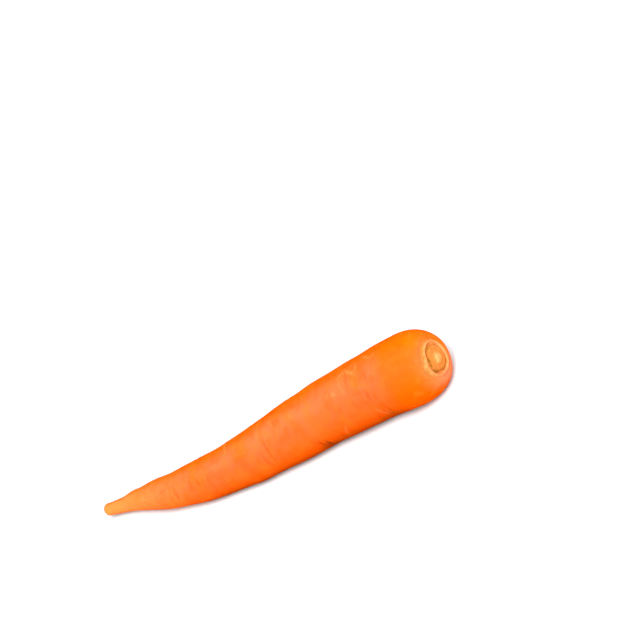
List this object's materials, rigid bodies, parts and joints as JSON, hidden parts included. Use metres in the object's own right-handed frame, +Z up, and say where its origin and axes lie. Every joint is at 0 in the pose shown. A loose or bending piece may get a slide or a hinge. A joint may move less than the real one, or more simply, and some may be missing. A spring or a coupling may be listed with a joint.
{
  "type": "carrot",
  "caption": "Fresh carrot root, washed and trimmed of its leaves, tapering from round shoulders with a leaf scar to a blunt thin tip, and lying on its side.",
  "frame": {"origin": "on the surface the carrot lies on, under the middle of its bounding box", "axes": "+X along the root from tip to crown, +Z up; the root bows towards -Y"},
  "size_m": [0.2172, 0.0398, 0.033],
  "materials": {
    "carrot_skin": "smooth damp skin with a satin sheen, salmon and orange blotches, pale leaf scar and yellow-orange tip"
  },
  "bodies": {
    "root": {"carrot": "carrot_skin"}
  },
  "joints": []
}
